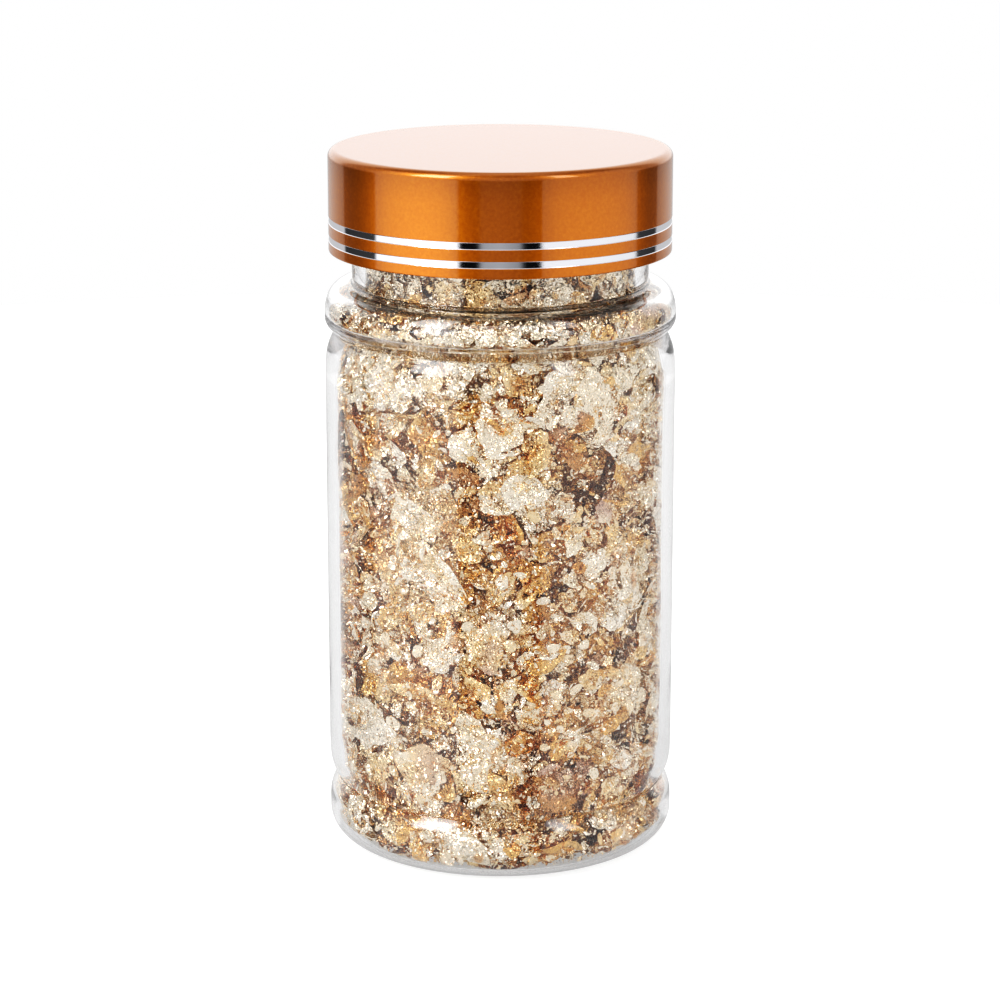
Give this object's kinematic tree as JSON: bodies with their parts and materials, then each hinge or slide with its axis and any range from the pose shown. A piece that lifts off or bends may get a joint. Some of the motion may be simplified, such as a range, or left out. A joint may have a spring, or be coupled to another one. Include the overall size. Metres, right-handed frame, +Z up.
{
  "type": "jar of gold leaf flakes",
  "caption": "Clear wide-mouth plastic jar with two wall grooves, full of loose gold-coloured leaf flakes, closed by a copper-coloured metal screw cap with two bright rings.",
  "frame": {"origin": "centre of the base, on the plane that the jar stands on", "axes": "+Z up along the jar's axis, towards the cap; X and Y are radial, and the outside is round, so their direction is free"},
  "size_m": [0.045, 0.045, 0.0909],
  "materials": {
    "clear_jar": "polished",
    "cap_metal": "polished",
    "cap_plastic": "satin",
    "liner_foam": "matte",
    "gold_leaf": "polished"
  },
  "bodies": {
    "jar": {"jar_body": "clear_jar", "leaf_large": "gold_leaf", "leaf_medium": "gold_leaf", "leaf_small": "gold_leaf"},
    "liner": {"cap_liner": "liner_foam"},
    "cap": {"cap_shell": "cap_metal", "cap_insert": "cap_plastic"}
  },
  "joints": [
    {"name": "cap_rise", "type": "slide", "parent": "jar", "child": "liner", "axis": [0, 0, 1], "range_m": [0, 0.0107]},
    {"name": "cap_turn", "type": "hinge", "parent": "liner", "child": "cap", "pos_m": [0, 0, 0.0844], "axis": [0, 0, 1], "range_deg": [0, 900]}
  ],
  "couplings": [
    {"joint": "cap_rise", "follows": "cap_turn", "m_per_rad": 0.00067375}
  ]
}
